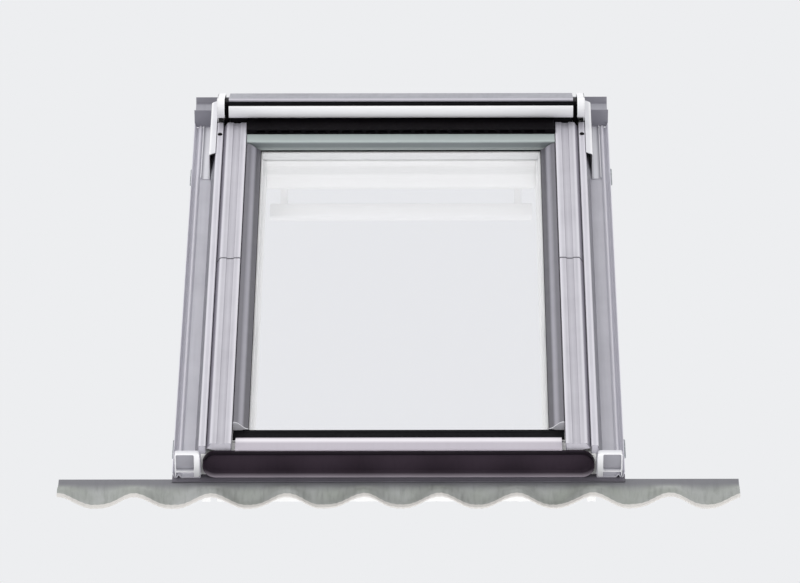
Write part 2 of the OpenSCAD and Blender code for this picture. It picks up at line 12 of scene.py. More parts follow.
import bmesh
import bpy
import numpy as np
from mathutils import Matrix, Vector


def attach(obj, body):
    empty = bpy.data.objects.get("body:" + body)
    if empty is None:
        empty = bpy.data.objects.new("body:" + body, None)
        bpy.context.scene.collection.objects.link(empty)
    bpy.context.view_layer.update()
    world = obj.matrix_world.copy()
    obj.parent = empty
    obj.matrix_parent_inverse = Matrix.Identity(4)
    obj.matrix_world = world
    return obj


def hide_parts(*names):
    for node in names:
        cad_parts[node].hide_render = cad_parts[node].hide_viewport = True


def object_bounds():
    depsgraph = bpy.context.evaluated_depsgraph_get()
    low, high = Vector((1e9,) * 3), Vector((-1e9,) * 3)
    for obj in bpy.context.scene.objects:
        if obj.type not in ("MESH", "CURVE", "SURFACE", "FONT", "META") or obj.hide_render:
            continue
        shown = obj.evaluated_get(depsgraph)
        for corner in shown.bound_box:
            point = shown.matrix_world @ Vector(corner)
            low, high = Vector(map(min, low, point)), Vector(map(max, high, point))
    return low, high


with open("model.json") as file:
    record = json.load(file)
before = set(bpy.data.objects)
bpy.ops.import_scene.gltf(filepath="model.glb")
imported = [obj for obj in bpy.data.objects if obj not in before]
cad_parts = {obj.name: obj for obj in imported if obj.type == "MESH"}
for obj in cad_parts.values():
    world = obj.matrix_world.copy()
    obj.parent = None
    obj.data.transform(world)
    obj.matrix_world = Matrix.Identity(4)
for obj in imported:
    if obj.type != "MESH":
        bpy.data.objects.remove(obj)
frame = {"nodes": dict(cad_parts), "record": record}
cad_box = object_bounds()
print(len(frame["nodes"]), "nodes loaded")

# %% [markdown]
# ## Work on a flat roof
#
# A tilted object is awkward to build. So every new piece is drawn lying flat,
# in millimetres: x across the window, y up the slope, z out of the roof, with
# y = 0 at the frame's lower end and z = 0 on the battens. One turn and one move
# then put it into the frame. Both are read from the record's mounts.

# %% Turn between the flat drawing and the roof
MM = 0.001
mounts = {mount["name"]: mount for mount in frame["record"]["mounts"]}
down = mounts["foot_lower_left"]["axis"]
pitch = math.atan2(down[1], -down[2])
cos_p, sin_p = math.cos(pitch), math.sin(pitch)
turn = np.array([[1, 0, 0], [0, cos_p, -sin_p], [0, sin_p, cos_p]])


def turned_back_mesh(mesh):
    """A mesh's points in millimetres, with the roof's turn undone."""
    points = np.empty(len(mesh.vertices) * 3)
    mesh.vertices.foreach_get("co", points)
    return points.reshape(-1, 3) @ turn / MM


def turned_back(node):
    """The same for the mesh of a CAD node."""
    return turned_back_mesh(frame["nodes"][node].data)


middle_x = mounts["foot_lower_right"]["pos_m"][0] / 2 / MM
middle = np.array([middle_x, turned_back("frame_side_left")[:, 1].min(), 0])


def to_roof(points):
    """The flat drawing to metres in the frame: moved to its origin, the lower left foot, and turned up."""
    return (np.asarray(points, float) + middle) @ turn.T * MM


def flat_box(node):
    """Lowest and highest corner of a CAD node in the flat drawing."""
    flat = turned_back(node) - middle
    return flat.min(0), flat.max(0)


print("pitch", round(math.degrees(pitch), 2), "degrees, middle of the lower edge at", middle.round(1))

# %% [markdown]
# ## Sizes read from the frame
#
# The covers, rails and gutters are long and straight, so the box of a node
# already says where its edges are. Only the small steps within a profile are
# named here again. CLEAR is the gap between pieces that lie side by side, and
# also sets faces apart that would flicker if they lay in one place.

# %% Name the edges that the pieces share
SIDES = ((-1, "left"), (1, "right"))
CORNERS = ("lower_left", "lower_right", "upper_left", "upper_right")
frame_x, frame_l, timber_top = flat_box("frame_side_right")[1]
cover_lo, cover_hi = flat_box("upper_cover_right")
rail_lo, rail_hi = flat_box("frame_rail_right")
bevel_lo, bevel_hi = flat_box("bevel_strip_right")
gutter_lo, gutter_hi = flat_box("side_flashing_right")
hood_lo, hood_hi = flat_box("hood")
SHEET = 1.5
FOLD = 1.5
CLEAR = 0.3
RAIL_STEP = 6
RAIL_W = 14
SKIRT_OUT = 10
GASKET_T = 3
gasket_top = timber_top + GASKET_T
rail_x, rail_top = rail_hi[0] - SKIRT_OUT, rail_hi[2]
rail_in_x = rail_x - RAIL_W
print("timber top", timber_top.round(1), "cover top", cover_hi[2].round(1), "hood top", hood_hi[2].round(1))

# %% [markdown]
# ## Profiles with round folds
#
# A press brake leaves a small radius at each fold. A fold is drawn here as a
# short parabola: it starts and ends a bend's length from the corner, or EDGE_SHARE
# of a short edge, and the corner pulls its middle.
#
# Two marks go along with the line, for the materials. The first says where the
# metal stands out and where it is hollow: hollows are painted darker, as shade
# and dirt, and outward edges get painted light. The second says how steep the
# face is, and steep sides get painted light and shade of their own, because
# light falls on them otherwise than on a flat top.

# %% Round, divide and thicken a profile
EDGE_SHARE = 0.45


def unit(v):
    """Vectors of length 1 in the same directions."""
    return v / np.linalg.norm(v, axis=-1, keepdims=True)


def rounded(corners, bend=2.0, steps=5):
    """Each corner C becomes (1-s)^2 A + 2s(1-s) C + s^2 B, with A and B a bend's length away from it."""
    p = np.asarray(corners, float)
    before, after = p[1:-1] - p[:-2], p[2:] - p[1:-1]
    room = EDGE_SHARE * np.minimum(np.linalg.norm(before, axis=1), np.linalg.norm(after, axis=1))
    reach = np.minimum(bend, room)[:, None]
    a, b = p[1:-1] - reach * unit(before), p[1:-1] + reach * unit(after)
    s = np.linspace(0, 1, steps)[:, None, None]
    curve = (1 - s) ** 2 * a + 2 * s * (1 - s) * p[1:-1] + s ** 2 * b
    return np.vstack([p[:1], curve.transpose(1, 0, 2).reshape(-1, 2), p[-1:]])


def divided(line, step=4.0):
    """The same line with points added, so that none of its edges is longer than about a step."""
    at = np.concatenate([[0], np.cumsum(np.linalg.norm(np.diff(line, axis=0), axis=1))])
    added = np.arange(step, at[-1], step)
    near = np.abs(added[:, None] - at).min(1) < step / 4
    where = np.unique(np.concatenate([at, added[~near]]))
    return np.column_stack([np.interp(where, at, line[:, 0]), np.interp(where, at, line[:, 1])])


def side_normals(line):
    """At each point, the normals on the left of the edge before it and of the edge after it."""
    edge = unit(np.diff(line, axis=0))
    normal = np.column_stack([-edge[:, 1], edge[:, 0]])
    return np.vstack([normal[:1], normal]), np.vstack([normal, normal[-1:]])


def thickened(line, t):
    """The line moved t to its left. A corner goes along both normals, so the sheet stays as thick."""
    a, b = side_normals(line)
    return line + t * (a + b) / (1 + (a * b).sum(1, keepdims=True))


def fold_marks(line, corners, width=4.0):
    """The sine of each corner's turn, times a bell curve of the distance: above 0 where it stands out."""
    p = np.asarray(corners, float)
    before, after = unit(p[1:-1] - p[:-2]), unit(p[2:] - p[1:-1])
    sine = before[:, 0] * after[:, 1] - before[:, 1] * after[:, 0]
    apart = np.linalg.norm(line[:, None] - p[None, 1:-1], axis=2)
    return np.clip((sine * np.exp(-((apart / width) ** 2))).sum(1), -1, 1)


# %% [markdown]
# ## Carry a profile along the window
#
# A sheet is its line and the same line moved by its thickness, joined to one
# loop. The loop stands at a few stations, and faces join each station to the
# next, as in the extrusion of a CAD tool.

# %% Sweep sheets and plates
def grid_faces(rows, columns, wrap=False, wrap_rows=False):
    """Quads between neighbouring rows and columns of a grid; wrap also joins the last to the first."""
    j, i = np.mgrid[0:rows if wrap_rows else rows - 1, 0:columns if wrap else columns - 1]
    i2, j2 = (i + 1) % columns, (j + 1) % rows
    quads = np.stack([j * columns + i, j * columns + i2, j2 * columns + i2, j2 * columns + i], -1)
    return quads.reshape(-1, 4)


def closed_tube(rows, columns):
    """The faces of a grid whose columns wrap round, with a flat face on its first and its last row."""
    ends = [list(range(columns)), list(range((rows - 1) * columns, rows * columns))]
    return grid_faces(rows, columns, wrap=True).tolist() + ends


def up_slope(side):
    """Places a profile in x and z at a distance up the slope, on the right for 1 and on the left for -1."""
    return lambda loop, s: np.column_stack([side * loop[:, 0], np.full(len(loop), s), loop[:, 1]])


def across(loop, s):
    """Places a profile in y and z at a distance across the window."""
    return np.column_stack([np.full(len(loop), s), loop[:, 0], loop[:, 1]])


def folded_sheet(corners, stations, place, t=SHEET, bend=2.0, width=4.0):
    """A strip of sheet metal. Rows are the stations; columns run along one face and back on the other."""
    line = divided(rounded(corners, bend))
    n, rows = len(line), len(stations)
    loop = np.vstack([line, thickened(line, t)[::-1]])
    points = np.concatenate([place(loop, s) for s in stations])
    k = np.arange(n - 1)
    end = np.column_stack([k, k + 1, 2 * n - 2 - k, 2 * n - 1 - k])
    faces = np.vstack([grid_faces(rows, 2 * n, wrap=True), end, end + 2 * n * (rows - 1)])
    out = fold_marks(line, corners, width) * np.sign(t)
    steep = np.abs(unit(np.add(*side_normals(line)))[:, 0])
    marks = np.column_stack([np.concatenate([out, -out[::-1]]), np.concatenate([steep, steep[::-1]])])
    return points, faces.tolist(), np.tile(marks, (rows, 1))


def plate(outline, s0, s1, place):
    """A flat plate: a closed outline at two stations, with its rim between them."""
    outline = np.asarray(outline, float)
    n = len(outline)
    points = np.vstack([place(outline, s0), place(outline, s1)])
    return points, closed_tube(2, n), np.zeros((2 * n, 2))


def finish_piece(mesh, material, nodes, smooth):
    """Smooth shading but for sharp edges, one material, a place on the root body, and the CAD nodes it
    replaces hidden.
    """
    mesh.shade_smooth()
    mesh.set_sharp_from_angle(angle=math.radians(smooth))
    mesh.materials.clear()
    mesh.materials.append(material)
    piece = bpy.data.objects.new(mesh.name, mesh)
    bpy.context.scene.collection.objects.link(piece)
    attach(piece, "root")
    if nodes:
        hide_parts(*nodes)
    print(f"{mesh.name}: {len(mesh.vertices)} points, {len(mesh.polygons)} faces")


def set_marks(mesh, marks):
    """Stores the two marks of each point as the attributes that the materials read."""
    for column, attribute in zip(marks.T, ("fold", "steep")):
        values = np.ascontiguousarray(column, np.float32)
        mesh.attributes.new(attribute, "FLOAT", "POINT").data.foreach_set("value", values)


def make_piece(name, parts, material, nodes, smooth=38):
    """Joins the parts to one mesh and turns their faces outwards; the piece rides on the one body."""
    start, points, faces, marks = 0, [], [], []
    for part_points, part_faces, part_marks in parts:
        points.append(part_points)
        faces += [[start + k for k in face] for face in part_faces]
        marks.append(part_marks)
        start += len(part_points)
    mesh = bpy.data.meshes.new(name)
    mesh.from_pydata(to_roof(np.vstack(points)).tolist(), [], faces)
    set_marks(mesh, np.vstack(marks))
    shell = bmesh.new()
    shell.from_mesh(mesh)
    bmesh.ops.recalc_face_normals(shell, faces=shell.faces)
    shell.to_mesh(mesh)
    shell.free()
    finish_piece(mesh, material, nodes, smooth)


# %% [markdown]
# ## Colours and nodes
#
# Colours are written as they look on a screen, in sRGB hex, and turned to the
# linear values that the renderer works in. One small function adds a node with
# its settings and links. A finish is then built up as a painter does it: one
# colour is laid over the other, each through a mask, which is a pattern's rise
# between two of its values.

# %% Colour and node helpers
def srgb(code):
    """A hex colour as linear RGBA: c/12.92 below 0.04045, and ((c+0.055)/1.055)^2.4 above."""
    c = np.array([int(code[i:i + 2], 16) / 255 for i in (1, 3, 5)])
    return (*np.where(c <= 0.04045, c / 12.92, ((c + 0.055) / 1.055) ** 2.4).tolist(), 1.0)


def add_node(tree, kind, sockets=None, **settings):
    """Adds a shader node and sets its properties; a socket gets a link, a number or a hex colour."""
    node = tree.nodes.new(f"ShaderNode{kind}")
    for key, value in settings.items():
        setattr(node, key, value)
    for key, value in (sockets or {}).items():
        if isinstance(value, bpy.types.NodeSocket):
            tree.links.new(value, node.inputs[key])
        else:
            node.inputs[key].default_value = srgb(value) if isinstance(value, str) else value
    return node


def empty_tree(owner):
    """The node tree of a material or world, without its first nodes."""
    owner.use_nodes = True
    owner.node_tree.nodes.clear()
    return owner.node_tree


def new_material(name, **values):
    """A material with its Principled shader, and Object coordinates turned like the flat drawing."""
    material = bpy.data.materials.new(name)
    tree = empty_tree(material)
    sockets = {key.replace("_", " "): value for key, value in values.items()}
    shader = add_node(tree, "BsdfPrincipled", sockets)
    add_node(tree, "OutputMaterial", {"Surface": shader.outputs[0]})
    place = add_node(tree, "TexCoord").outputs["Object"]
    flat = add_node(tree, "Mapping", {"Vector": place, "Rotation": (-pitch, 0, 0)}).outputs[0]
    print("material", name)
    return material, tree, shader, flat


def noise(tree, where, size_mm, stretch=(1, 1, 1), detail=3):
    """Noise whose blobs are about size_mm wide, drawn out along an axis by its stretch."""
    scaled = add_node(tree, "Mapping", {"Vector": where, "Scale": [1 / k for k in stretch]}).outputs[0]
    sockets = {"Vector": scaled, "Scale": 1 / (size_mm * MM), "Detail": detail, "Roughness": 0.55}
    return add_node(tree, "TexNoise", sockets).outputs["Fac"]


def layered(tree, colour, *layers):
    """Lays colours over the first, each through a mask that rises to its strength from low to high."""
    for value, low, high, strength, over in layers:
        mask = add_node(tree, "MapRange", {
            "Value": value, "From Min": low, "From Max": high, "To Max": strength}).outputs[0]
        colour = add_node(tree, "Mix", {0: mask, 6: colour, 7: over}, data_type="RGBA").outputs[2]
    return colour


def surface(tree, shader, colour, rough, *relief):
    """Links a colour, a roughness, and one bump after another, each a height and its depth in mm.

    The roughness is a value with its low and high, and goes from least to most between them.
    """
    value, low, high, least, most = rough
    roughness = add_node(tree, "MapRange", {
        "Value": value, "From Min": low, "From Max": high, "To Min": least, "To Max": most}).outputs[0]
    normal = {}
    for height, depth_mm in relief:
        sockets = {"Height": height, "Distance": depth_mm * MM, "Strength": 1.0, **normal}
        normal = {"Normal": add_node(tree, "Bump", sockets).outputs[0]}
    for key, made in {"Base Color": colour, "Roughness": roughness, **normal}.items():
        tree.links.new(made, shader.inputs[key])


# %% [markdown]
# ## Lacquered aluminium
#
# The covers are roll-formed aluminium with a baked grey lacquer: a thin satin
# film, so roughness about 0.35 and a weak coat of gloss. Their pale silver greys
# are a painted reflection: the lacquer is a darker grey, and the faces that look
# up mirror a bright sky. Four marks lie over the colour. Soft grey patches are
# noise 120 mm wide, and run-off streaks are noise 7 mm wide drawn out along the
# slope: these two are real stains. The hollows are painted darker, as shade and
# dirt, and the steep sides get painted light and shade of their own. The outward
# folds get a painted highlight, or on the bevel strip a painted shadow line;
# these are the two marks of each profile. The film's own orange peel is 0.8 mm
# wide and 0.01 mm deep, over dents 60 mm wide in the sheet. The sill cover faces
# down and is painted dark, the lacquer's own grey with painted shade; it has no
# gloss and hardly any shine, which keeps it as dark as in the photograph.

# %% Make the lacquers
def lacquer(name, colour, dirt_and_shade, painted_fold_light, side, roughness=(0.3, 0.42), streak=0.2, patch=0.3, coat=0.15,
            painted_shade=(-0.15, -0.75), shine=0.5):
    """The colours are the film's own, its dirt and painted shade in hollows, the painted light on outward
    folds, and the painted light and shade of its steep sides.
    """
    material, tree, shader, flat = new_material(
        f"{name}_lacquered_aluminium", Coat_Weight=coat, Coat_Roughness=0.25, Specular_IOR_Level=shine)
    fold = add_node(tree, "Attribute", attribute_name="fold").outputs["Fac"]
    steep = add_node(tree, "Attribute", attribute_name="steep").outputs["Fac"]
    body = layered(
        tree, colour,
        (noise(tree, flat, 120, detail=5), 0.35, 0.7, patch, dirt_and_shade),
        (noise(tree, flat, 7, (1, 40, 4), detail=2), 0.45, 0.75, streak, dirt_and_shade),
        # Painted light and shade on the steep sides.
        (steep, 0.45, 0.8, 1, side),
        # Painted shade, with dirt, in the hollows.
        (fold, *painted_shade, 0.9, dirt_and_shade),
        # Painted light on the outward folds.
        (fold, 0.2, 0.9, 0.9, painted_fold_light),
    )
    gloss = noise(tree, flat, 30, detail=4)
    peel = noise(tree, flat, 0.8, detail=1)
    dents = noise(tree, flat, 60, (1, 3, 1), detail=1)
    surface(tree, shader, body, (gloss, 0.3, 0.7, *roughness), (peel, 0.01), (dents, 0.25))
    return material


# Painted reflection: the pale base colours stand for a bright sky mirrored in the lacquer, and the colour
# for steep sides paints how light falls on them.
sky_reflection_lacquer = lacquer(
    "sky_reflection_grey", "#C4C2CA", "#96939D", "#DAD8E0", "#85828D")
white_lacquer = lacquer(
    "pale", "#E2E2E7", "#9C9BA3", "#F8F8FA", "#E4E4E8", streak=0.1, patch=0.15)
# Painted highlight: the nose and the hood's end caps are near white where they mirror the sky.
nose_highlight_lacquer = lacquer(
    "white", "#FAFAFC", "#D4D4DA", "#FDFDFE", "#F8F8FB", streak=0.1, patch=0.15)
rail_lacquer = lacquer(
    "rail", "#C2C0C9", "#85828D", "#DAD8E0", "#66656E")
# The bevel strip's mid grey is painted shade; its fold and dirt colours paint shadow lines at its outer and
# inner edges.
bevel_shade_lacquer = lacquer(
    "shaded_slate_grey", "#9C9AA4", "#4A484F", "#65636B", "#A09EA8", streak=0.1, patch=0.1,
    painted_shade=(-0.05, -0.4))
# Its bright colour is a painted highlight on the upper fold.
bottom_lacquer = lacquer(
    "painted_light", "#BDB7C1", "#A8A2AC", "#EFEBF1", "#C4BDC7", streak=0.15, patch=0.15)
step_lacquer = lacquer(
    "green_grey", "#A8B2B1", "#979D9D", "#B4BEBD", "#777E80", streak=0.08, patch=0.08)
# Dark grey, the lacquer's own with painted shade; its dirt colour paints the shadow under the upper rim and
# its fold colour a highlight on the lower lip.
sill_lacquer = lacquer(
    "dark", "#382F38", "#0C070E", "#ABA2AC", "#382F38", (0.4, 0.55), streak=0.1,
    patch=0.1, coat=0, shine=0.06)
gutter_lacquer = lacquer(
    "dulled", "#CAC9D1", "#A4A3AC", "#EDEBF2", "#D0CFD7", (0.45, 0.6), streak=0.2,
    patch=0.25, coat=0, painted_shade=(-0.6, -1.4))
# A duller grey with less gloss, for the hood's plate and the head flashing; on the plate it is painted
# shade on a face turned away.
worn_and_shaded_lacquer = lacquer(
    "weathered_and_shaded", "#A3A3AB", "#7B7A83", "#C4C2CB", "#8F8E97", (0.45, 0.6), streak=0.3,
    patch=0.4, coat=0)
# Painted shadow: the dark strip under the sill cover.
shaded_lacquer = lacquer(
    "painted_shade", "#67646D", "#504D55", "#716E77", "#67646D", (0.5, 0.65), coat=0)

# %% [markdown]
# ## Glass, rubber and plastic
#
# Each pane is a closed solid of clear float glass, IOR 1.52, so light bends and
# reflects as in the real unit; its faint tint is the coating's. A renderer lets
# no lamp shine through bent glass, so the shadow and diffuse rays, which only
# carry daylight to the timber behind, pass straight through it. EPDM rubber and
# the baffle's polypropylene are nearly black, with a fine moulded grain 0.5 mm
# wide. They have a low specular level, because chalked rubber hardly shines.

# %% Make the glass and the black parts
def float_glass():
    """Bent and mirrored light for the camera's rays, and straight light for shadow and diffuse rays."""
    material, tree, shader, flat = new_material(
        "float_glass", Base_Color="#FBFBFC", Transmission_Weight=1.0, IOR=1.52)
    film = add_node(tree, "MapRange", {
        "Value": noise(tree, flat, 90, (1, 2, 1), detail=5), "From Min": 0.4, "From Max": 0.8,
        "To Max": 0.035})
    tree.links.new(film.outputs[0], shader.inputs["Roughness"])
    path = add_node(tree, "LightPath").outputs
    rays = {0: path["Is Shadow Ray"], 1: path["Is Diffuse Ray"]}
    light = add_node(tree, "Math", rays, operation="MAXIMUM")
    clear = add_node(tree, "BsdfTransparent", {"Color": "#FEFEFE"})
    both = add_node(tree, "MixShader", {0: light.outputs[0], 1: shader.outputs[0], 2: clear.outputs[0]})
    tree.links.new(both.outputs[0], tree.nodes["Material Output"].inputs["Surface"])
    return material


def black_part(name, colour, dust, roughness):
    """A dull black with dust in soft patches and a fine moulded grain."""
    material, tree, shader, flat = new_material(name, Specular_IOR_Level=0.06)
    body = layered(tree, colour, (noise(tree, flat, 25, detail=5), 0.45, 0.75, 0.3, dust))
    gloss, grain = noise(tree, flat, 8), noise(tree, flat, 0.5, detail=1)
    surface(tree, shader, body, (gloss, 0.3, 0.7, roughness - 0.08, roughness + 0.08), (grain, 0.03))
    return material


glass = float_glass()
epdm = black_part("epdm_rubber", "#0C0C0F", "#1B1B1F", 0.6)
polypropylene = black_part("black_polypropylene", "#0F0D10", "#1B181C", 0.5)

# %% [markdown]
# ## Painted pine
#
# The timber is glued pine under white satin paint. Paint hides the colour of
# the wood but not its grain: soft early wood sinks, so the surface has shallow
# lines 3 mm apart that run along the member. Side members run up the slope and
# end members across it, so the same recipe is made twice with another stretch.

# %% Make the two paints
def painted_pine(name, stretch):
    """White paint over a grain that is drawn out along one axis."""
    material, tree, shader, flat = new_material(name)
    grain = noise(tree, flat, 3, stretch)
    body = layered(
        tree, "#FAFAF9",
        (noise(tree, flat, 150, detail=4), 0.3, 0.75, 0.5, "#F3F3F1"),
        (grain, 0.45, 0.75, 0.35, "#EAEAE7"),
    )
    film = noise(tree, flat, 1.2, detail=2)
    surface(tree, shader, body, (grain, 0.3, 0.7, 0.34, 0.46), (grain, 0.12), (film, 0.02))
    return material


pine_up = painted_pine("painted_pine_up_the_slope", (1, 60, 1))
pine_across = painted_pine("painted_pine_across", (60, 1, 1))

# %% [markdown]
# ## Galvanised, drawn and weathered metals
#
# The brackets and hinges are hot-dip galvanised: zinc crystals about 7 mm wide,
# each of its own grey, which a Voronoi pattern gives. The control bar and the
# spacer are drawn aluminium, so fine lines run across the window on both. The bar
# is lacquered white. The spacer is pale and isn't a mirror, because from outside
# it shows as a white border round the glass. The apron is soft aluminium that has
# weathered to a dull grey green, with water marks, and its folded edge gets a
# painted highlight.

# %% Make the metals
def galvanised():
    """Zinc crystals, each with its own grey, roughness and height."""
    material, tree, shader, flat = new_material("galvanised_steel", Metallic=0.85)
    spangle = add_node(tree, "TexVoronoi", {"Vector": flat, "Scale": 1 / (7 * MM)})
    grey = add_node(tree, "SeparateColor", {"Color": spangle.outputs["Color"]}).outputs[0]
    body = layered(tree, "#8B8F94", (grey, 0, 1, 1, "#B9BDC1"))
    surface(tree, shader, body, (grey, 0, 1, 0.32, 0.5), (grey, 0.03), (noise(tree, flat, 2), 0.02))
    return material


def drawn_aluminium(name, colour, line_colour):
    """A pale finish over fine drawn lines, 0.6 mm apart."""
    material, tree, shader, flat = new_material(name)
    lines = noise(tree, flat, 0.6, (80, 1, 1), detail=2)
    body = layered(tree, colour, (lines, 0.4, 0.7, 1, line_colour))
    surface(tree, shader, body, (lines, 0.3, 0.7, 0.28, 0.4), (lines, 0.02))
    return material


def weathered_apron():
    """Grey green with stains; the marks add a painted shadow near the sill flashing and a painted highlight
    on the hem.
    """
    material, tree, shader, flat = new_material("weathered_soft_aluminium", Metallic=0.25)
    fold = add_node(tree, "Attribute", attribute_name="fold").outputs["Fac"]
    steep = add_node(tree, "Attribute", attribute_name="steep").outputs["Fac"]
    patches = noise(tree, flat, 70, detail=6)
    body = layered(
        tree, "#9A9E98",
        (patches, 0.35, 0.7, 1, "#AFB1B0"),
        (noise(tree, flat, 9, (1, 8, 2)), 0.5, 0.75, 0.6, "#868985"),
        # The steep mark here carries the painted shadow under the sill flashing.
        (steep, 0, 1, 1, "#74737A"),
        # The fold mark here is the hem's painted highlight.
        (fold, 0.15, 0.8, 1, "#D9D6D2"),
    )
    fine, dents = noise(tree, flat, 1.5), noise(tree, flat, 18, detail=2)
    surface(tree, shader, body, (patches, 0.35, 0.7, 0.42, 0.6), (fine, 0.06), (dents, 0.5))
    return material


zinc = galvanised()
bar_lacquer = drawn_aluminium("white_lacquered_bar", "#FAFAFA", "#F0F0F0")
spacer_metal = drawn_aluminium("mill_finish_aluminium", "#FBFBFC", "#EAEAEC")
apron_metal = weathered_apron()

# %% [markdown]
# ## Side covers
#
# A side cover is one sheet with a bead on each side of a shallow groove, and an
# outer edge that slopes down to the frame rail. The upper covers are fixed to
# the frame and the lower ones to the sash, with a seam at the pivot. A small
# plate closes the lower end of each, so that no draught or wasp gets in under it.

# %% Build the four side covers
BEAD_W = 13
GROOVE_D = 2
STEP_W = 7
RAIL_GAP = 1
cover_in_x, cover_top = cover_lo[0], cover_hi[2]
cover_out_x = rail_in_x - RAIL_GAP - STEP_W
cover_line = [
    (rail_in_x - RAIL_GAP, rail_top - RAIL_STEP),
    (cover_out_x, cover_top - FOLD),
    (cover_out_x - FOLD, cover_top),
    (cover_out_x - BEAD_W, cover_top),
    (cover_out_x - BEAD_W - GROOVE_D, cover_top - GROOVE_D),
    (cover_in_x + BEAD_W + GROOVE_D, cover_top - GROOVE_D),
    (cover_in_x + BEAD_W, cover_top),
    (cover_in_x + FOLD, cover_top),
    (cover_in_x, cover_top - FOLD),
    (cover_in_x, cover_lo[2]),
]


def upright(at, top):
    """The outline of a strip that stands on the timber and carries a cover."""
    return [(at, timber_top), (at + SHEET, timber_top), (at + SHEET, top), (at, top)]


for side, hand in SIDES:
    for half, leg_x in (("upper", cover_out_x - BEAD_W / 2), ("lower", cover_in_x + BEAD_W / 2)):
        node = f"{half}_cover_{hand}"
        lo, hi = flat_box(node)
        make_piece(f"{node}_sheet", [
            folded_sheet(cover_line, (lo[1], hi[1]), up_slope(side)),
            plate(upright(leg_x, cover_top - SHEET), lo[1], hi[1], up_slope(side)),
            plate(thickened(rounded(cover_line), SHEET / 2), lo[1] + CLEAR, lo[1] + SHEET, up_slope(side)),
        ], sky_reflection_lacquer, [node])

# %% [markdown]
# ## Frame rails and bevel strips
#
# The rail is clipped to the frame's outer edge and runs past the seam in one
# length. Its skirt leans out and ends in a hem over the gutter, so that water
# drips clear of the timber; the skirt's dark grey is painted shade. Beside the
# glass a strip slopes down to the gasket. Its mid grey is painted shade, as it
# mirrors less sky, with painted shadow lines along its inner and outer edges,
# and a pale cap closes its lower end.

# %% Build the rails and the strips
HEM = 4
STRIP_CAP_T = 2
skirt_low = rail_lo[2]
rail_line = [
    (rail_hi[0] - HEM, skirt_low),
    (rail_hi[0], skirt_low),
    (rail_x, rail_top - FOLD),
    (rail_x - FOLD, rail_top),
    (rail_in_x + FOLD, rail_top),
    (rail_in_x, rail_top - FOLD),
    (rail_in_x, timber_top),
]
rail_end = [
    (rail_in_x, timber_top + CLEAR),
    (rail_in_x, rail_top - 1),
    (rail_x, rail_top - FOLD),
    (rail_x + 4, timber_top + CLEAR),
]
sight_x = bevel_lo[0] - 1
bevel_x, bevel_top = bevel_hi[0], bevel_hi[2]
bevel_line = [
    (bevel_x, timber_top),
    (bevel_x, bevel_top),
    (bevel_x - 3, bevel_top),
    (bevel_x - 9, bevel_top - 2),
    (sight_x + 9, gasket_top + SHEET + 3),
    (sight_x + 4, gasket_top + SHEET),
    (sight_x + 1, gasket_top + SHEET),
]
for side, hand in SIDES:
    make_piece(f"frame_rail_{hand}_sheet", [
        folded_sheet(rail_line, (rail_lo[1], rail_hi[1]), up_slope(side)),
        plate(rail_end, rail_lo[1], rail_lo[1] + SHEET, up_slope(side)),
    ], rail_lacquer, [f"frame_rail_{hand}"])
    make_piece(f"bevel_strip_{hand}_sheet", [
        folded_sheet(bevel_line, (bevel_lo[1], bevel_hi[1]), up_slope(side), bend=3.0, width=8),
    ], bevel_shade_lacquer, [f"bevel_strip_{hand}"])
    make_piece(f"bevel_strip_{hand}_cap", [
        plate(thickened(rounded(bevel_line), -CLEAR), bevel_lo[1] - CLEAR, bevel_lo[1] + STRIP_CAP_T,
              up_slope(side)),
    ], white_lacquer, [f"bevel_strip_{hand}"])

# %% [markdown]
# ## Covers above and below the glass
#
# The bottom sash cover rises from the gasket, runs flat and drops over a tight
# nose to the sill cover, with a gap to the side covers at each end. Its upper
# fold gets a painted highlight, so that mark is a bell curve round the fold.
# The top one stands up like a step and passes under the hood; its front face is
# painted darker, as shade.

# %% Build the bottom and the top cover
BOTTOM_DROP = 3.7
TOP_HIGHLIGHT, TOP_HIGHLIGHT_AT, TOP_HIGHLIGHT_W = 1.2, 17, 12
bottom_lo, bottom_hi = flat_box("bottom_sash_cover")
bottom_top = bottom_hi[2]
bottom_line = [
    (bottom_hi[1], gasket_top + SHEET),
    (bottom_hi[1] - 3, gasket_top + SHEET),
    (bottom_hi[1] - 15, bottom_top),
    (bottom_lo[1], bottom_top),
    (bottom_lo[1], bottom_top - BOTTOM_DROP),
]
sash_lo, sash_hi = flat_box("sash_side_right")
bottom_leg = upright(sash_lo[1] + 1, gasket_top + SHEET / 2)
points, faces, marks = folded_sheet(bottom_line, (bottom_lo[0], bottom_hi[0]), across, bend=3.0)
# The mark is a painted highlight, a bell curve round the upper fold.
marks[:, 0] = TOP_HIGHLIGHT * np.exp(-(((points[:, 1] - bottom_hi[1] + TOP_HIGHLIGHT_AT) / TOP_HIGHLIGHT_W) ** 2))
make_piece("bottom_sash_cover_sheet", [
    (points, faces, marks),
    plate(bottom_leg, bottom_lo[0], bottom_hi[0], across),
], bottom_lacquer, ["bottom_sash_cover"])

top_lo, top_hi = flat_box("top_glazing_cover")
top_line = [
    (top_hi[1], timber_top),
    (top_hi[1], top_hi[2]),
    (top_lo[1] + 2, top_hi[2]),
    (top_lo[1] + 2, gasket_top + SHEET),
    (top_lo[1], gasket_top + SHEET),
]
make_piece("top_glazing_cover_sheet", [
    folded_sheet(top_line, (top_lo[0], top_hi[0]), across, bend=3.0),
], step_lacquer, ["top_glazing_cover"])

# %% [markdown]
# ## Hood
#
# The hood is the brightest piece: a rolled nose, painted near white as a
# highlight where it mirrors the sky, and a plate that falls away to the back,
# painted a duller grey with less gloss, as shade on a face turned away. Both
# turn down into a joint on the nose, which a black seal fills. The nose is an arc
# of a circle, by sine and cosine. The end caps repeat the line without the joint,
# with the nose's painted highlight, and stand off on a black core, a dark piece
# that stands in for the shade in the slot beside the hood.

